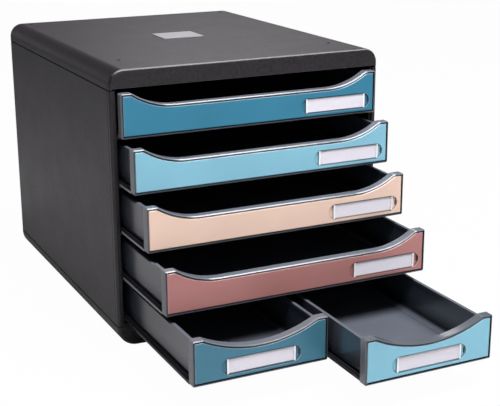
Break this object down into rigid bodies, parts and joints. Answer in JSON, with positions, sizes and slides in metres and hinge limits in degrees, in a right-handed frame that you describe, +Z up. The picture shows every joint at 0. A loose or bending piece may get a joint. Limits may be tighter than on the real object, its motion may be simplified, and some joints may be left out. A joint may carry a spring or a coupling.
{
  "type": "desktop drawer organiser",
  "caption": "Dark desktop drawer box with full-width drawers over two half-width ones, swooped fronts with coloured satin plates and label windows, drawers pulled out in steps.",
  "frame": {"origin": "on the standing surface, under the middle of the case's outline (the open drawers are left out of that middle)", "axes": "+Z up; the drawer fronts face -Y and the drawers slide out along -Y; +X to the right of someone who faces the fronts"},
  "size_m": [0.28, 0.5573, 0.271],
  "materials": {
    "case_plastic": "fine grain",
    "runner_plastic": "satin",
    "tray_plastic": "satin",
    "foot_rubber": "matt",
    "plate_teal": "satin metallic",
    "plate_light_blue": "satin metallic",
    "plate_peach": "satin metallic",
    "plate_rose": "satin metallic",
    "plate_dark_teal": "satin metallic",
    "label_card": "paper",
    "clear_cover": "clear"
  },
  "bodies": {
    "case": {"top_cover": "case_plastic", "base_shell": "case_plastic", "rubber_feet": "foot_rubber", "left_side_panel": "case_plastic", "right_side_panel": "case_plastic", "back_panel": "case_plastic", "left_runner_frame": "runner_plastic", "right_runner_frame": "runner_plastic", "divider_shelf": "runner_plastic", "centre_divider": "runner_plastic"},
    "drawer_1": {"drawer_1_tray": "tray_plastic", "drawer_1_front_plate": "plate_teal", "drawer_1_label_card": "label_card", "drawer_1_label_window": "clear_cover"},
    "drawer_2": {"drawer_2_tray": "tray_plastic", "drawer_2_front_plate": "plate_light_blue", "drawer_2_label_card": "label_card", "drawer_2_label_window": "clear_cover"},
    "drawer_3": {"drawer_3_tray": "tray_plastic", "drawer_3_front_plate": "plate_peach", "drawer_3_label_card": "label_card", "drawer_3_label_window": "clear_cover"},
    "drawer_4": {"drawer_4_tray": "tray_plastic", "drawer_4_front_plate": "plate_rose", "drawer_4_label_card": "label_card", "drawer_4_label_window": "clear_cover"},
    "drawer_5": {"drawer_5_tray": "tray_plastic", "drawer_5_front_plate": "plate_dark_teal", "drawer_5_label_card": "label_card", "drawer_5_label_window": "clear_cover"},
    "drawer_6": {"drawer_6_tray": "tray_plastic", "drawer_6_front_plate": "plate_light_blue", "drawer_6_label_card": "label_card", "drawer_6_label_window": "clear_cover"}
  },
  "joints": [
    {"name": "drawer_1_slide", "type": "slide", "parent": "case", "child": "drawer_1", "axis": [0, -1, 0], "range_m": [0, 0.245]},
    {"name": "drawer_2_slide", "type": "slide", "parent": "case", "child": "drawer_2", "axis": [0, -1, 0], "range_m": [-0.0267, 0.21829]},
    {"name": "drawer_3_slide", "type": "slide", "parent": "case", "child": "drawer_3", "axis": [0, -1, 0], "range_m": [-0.05611, 0.1889]},
    {"name": "drawer_4_slide", "type": "slide", "parent": "case", "child": "drawer_4", "axis": [0, -1, 0], "range_m": [-0.09555, 0.14945]},
    {"name": "drawer_5_slide", "type": "slide", "parent": "case", "child": "drawer_5", "axis": [0, -1, 0], "range_m": [-0.14577, 0.09922]},
    {"name": "drawer_6_slide", "type": "slide", "parent": "case", "child": "drawer_6", "axis": [0, -1, 0], "range_m": [-0.20702, 0.03798]}
  ]
}
